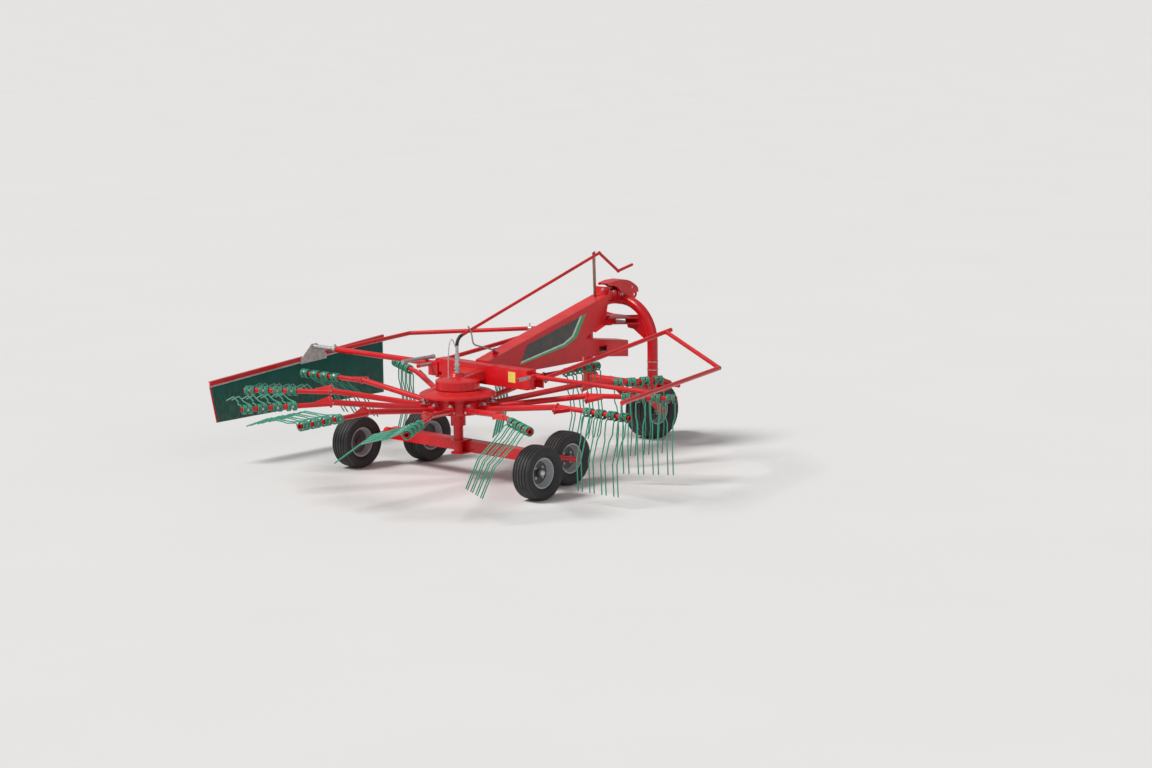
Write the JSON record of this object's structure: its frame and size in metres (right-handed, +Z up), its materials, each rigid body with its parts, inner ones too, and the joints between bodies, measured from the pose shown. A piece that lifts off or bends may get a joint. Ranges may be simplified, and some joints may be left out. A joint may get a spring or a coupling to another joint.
{
  "type": "single rotor hay rake",
  "caption": "Mounted rotary hay rake: a rotor of radial tine arms on a tandem-wheel chassis, with a swivel headstock, folding guards and a windrow curtain.",
  "frame": {"origin": "on the floor, under the middle of the machine's bounding box", "axes": "+X is the direction of travel, +Y is left, +Z is up"},
  "size_m": [4.1506, 3.7364, 1.59],
  "materials": {
    "red_paint": "gloss powder coat with light dust",
    "tine_green": "semi-gloss painted spring steel",
    "tyre_rubber": "dusty ribbed tyre rubber",
    "rim_grey": "satin silver-grey paint",
    "zinc": "zinc plated, satin",
    "bare_steel": "machined steel, lightly greased",
    "black_rubber": "matt black rubber hose",
    "curtain_green": "coated tarpaulin, low sheen"
  },
  "bodies": {
    "frame": {"column": "red_paint", "chassis_beam": "red_paint", "bogie_left": "red_paint", "bogie_right": "red_paint", "gear_cap": "red_paint", "cross_box": "red_paint", "main_beam": "red_paint", "swivel_box": "red_paint", "height_spindle": "zinc", "crank_coupling": "black_rubber", "crank_rod": "red_paint", "crank_strut": "zinc", "hinge_pins": "zinc"},
    "rotor": {"rotor_drum": "red_paint", "inner_arms": "red_paint", "tine_arm_01": "tine_green", "tine_arm_02": "tine_green", "tine_arm_03": "tine_green", "tine_arm_04": "tine_green", "tine_arm_05": "tine_green", "tine_arm_06": "tine_green", "tine_arm_07": "tine_green", "tine_arm_08": "tine_green", "tine_arm_09": "tine_green", "tine_arm_10": "tine_green", "tine_arm_11": "tine_green", "tine_arm_12": "tine_green"},
    "input_shaft": {"input_shaft": "bare_steel"},
    "wheel_rear_left": {"tyre_rear_left": "tyre_rubber", "rim_rear_left": "rim_grey"},
    "wheel_front_left": {"tyre_front_left": "tyre_rubber", "rim_front_left": "rim_grey"},
    "wheel_rear_right": {"tyre_rear_right": "tyre_rubber", "rim_rear_right": "rim_grey"},
    "wheel_front_right": {"tyre_front_right": "tyre_rubber", "rim_front_right": "rim_grey"},
    "headstock": {"headstock_arch": "red_paint", "headstock_bridge": "red_paint", "headstock_tower": "red_paint", "hitch_brackets": "red_paint", "jockey_arm": "red_paint"},
    "jockey_wheel": {"tyre_jockey": "tyre_rubber", "rim_jockey": "rim_grey"},
    "guard_right": {"guard_right": "red_paint"},
    "guard_left": {"guard_left": "red_paint", "curtain_arm": "red_paint", "fold_lever": "zinc"},
    "curtain": {"curtain_tube": "zinc", "curtain_rail": "red_paint", "curtain_sheet": "curtain_green"}
  },
  "joints": [
    {"name": "rotor_spin", "type": "hinge", "parent": "frame", "child": "rotor", "pos_m": [-0.397, 0, 0.6], "axis": [0, 0, 1], "continuous": true},
    {"name": "input_spin", "type": "hinge", "parent": "frame", "child": "input_shaft", "pos_m": [0.603, 0, 0.79], "axis": [1, 0, 0], "continuous": true},
    {"name": "wheel_rear_left_spin", "type": "hinge", "parent": "frame", "child": "wheel_rear_left", "pos_m": [-0.548, 0.96, 0.203], "axis": [0, 1, 0], "continuous": true},
    {"name": "wheel_front_left_spin", "type": "hinge", "parent": "frame", "child": "wheel_front_left", "pos_m": [-0.004, 0.74, 0.203], "axis": [0, 1, 0], "continuous": true},
    {"name": "wheel_rear_right_spin", "type": "hinge", "parent": "frame", "child": "wheel_rear_right", "pos_m": [-0.548, -0.96, 0.203], "axis": [0, 1, 0], "continuous": true},
    {"name": "wheel_front_right_spin", "type": "hinge", "parent": "frame", "child": "wheel_front_right", "pos_m": [-0.004, -0.74, 0.203], "axis": [0, 1, 0], "continuous": true},
    {"name": "headstock_swivel", "type": "hinge", "parent": "frame", "child": "headstock", "pos_m": [1.313, 0, 1], "axis": [0, 0, 1], "range_deg": [-14, 14]},
    {"name": "jockey_wheel_spin", "type": "hinge", "parent": "headstock", "child": "jockey_wheel", "pos_m": [1.84, 0, 0.228], "axis": [0, 1, 0], "continuous": true},
    {"name": "guard_right_fold", "type": "hinge", "parent": "frame", "child": "guard_right", "pos_m": [-0.177, -0.6, 0.825], "axis": [-1, 0, 0], "range_deg": [0, 90]},
    {"name": "guard_left_fold", "type": "hinge", "parent": "frame", "child": "guard_left", "pos_m": [-0.177, 0.444, 0.825], "axis": [1, 0, 0], "range_deg": [0, 90]},
    {"name": "curtain_slide", "type": "slide", "parent": "guard_left", "child": "curtain", "axis": [0, 1, 0], "range_m": [-0.04, 0.25]}
  ],
  "couplings": [
    {"joint": "input_spin", "follows": "rotor_spin", "ratio": 7.5}
  ]
}
